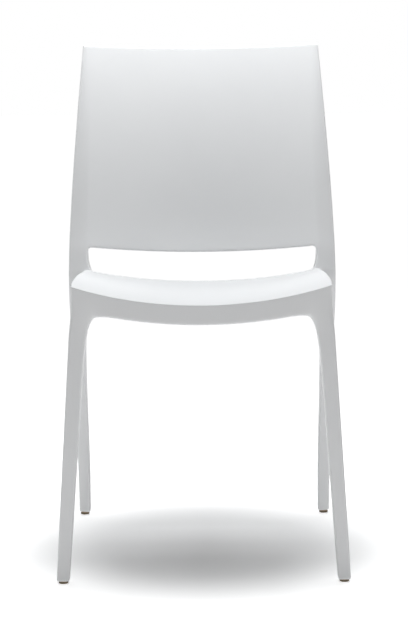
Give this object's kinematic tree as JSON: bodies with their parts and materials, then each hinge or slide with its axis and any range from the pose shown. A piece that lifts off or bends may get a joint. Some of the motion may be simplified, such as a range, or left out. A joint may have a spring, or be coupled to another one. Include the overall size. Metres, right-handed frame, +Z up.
{
  "type": "stacking chair",
  "caption": "One-piece moulded stacking side chair with a slotted panel back, dished seat, tapered splayed legs and push-in foot glides.",
  "frame": {"origin": "on the floor, under the middle of the chair's width and depth", "axes": "+Z up, the front of the seat towards -Y, the sitter's left hand towards +X"},
  "size_m": [0.447, 0.4997, 0.81],
  "materials": {
    "shell": "white polypropylene with a fine satin-matt grain",
    "glide_plug": "tan nylon, satin",
    "glide_sole": "dark brown thermoplastic rubber, dull"
  },
  "bodies": {
    "root": {"chair_moulding": "shell", "glide_plug_front_left": "glide_plug", "glide_plug_front_right": "glide_plug", "glide_plug_rear_left": "glide_plug", "glide_plug_rear_right": "glide_plug", "glide_sole_front_left": "glide_sole", "glide_sole_front_right": "glide_sole", "glide_sole_rear_left": "glide_sole", "glide_sole_rear_right": "glide_sole"}
  },
  "joints": []
}
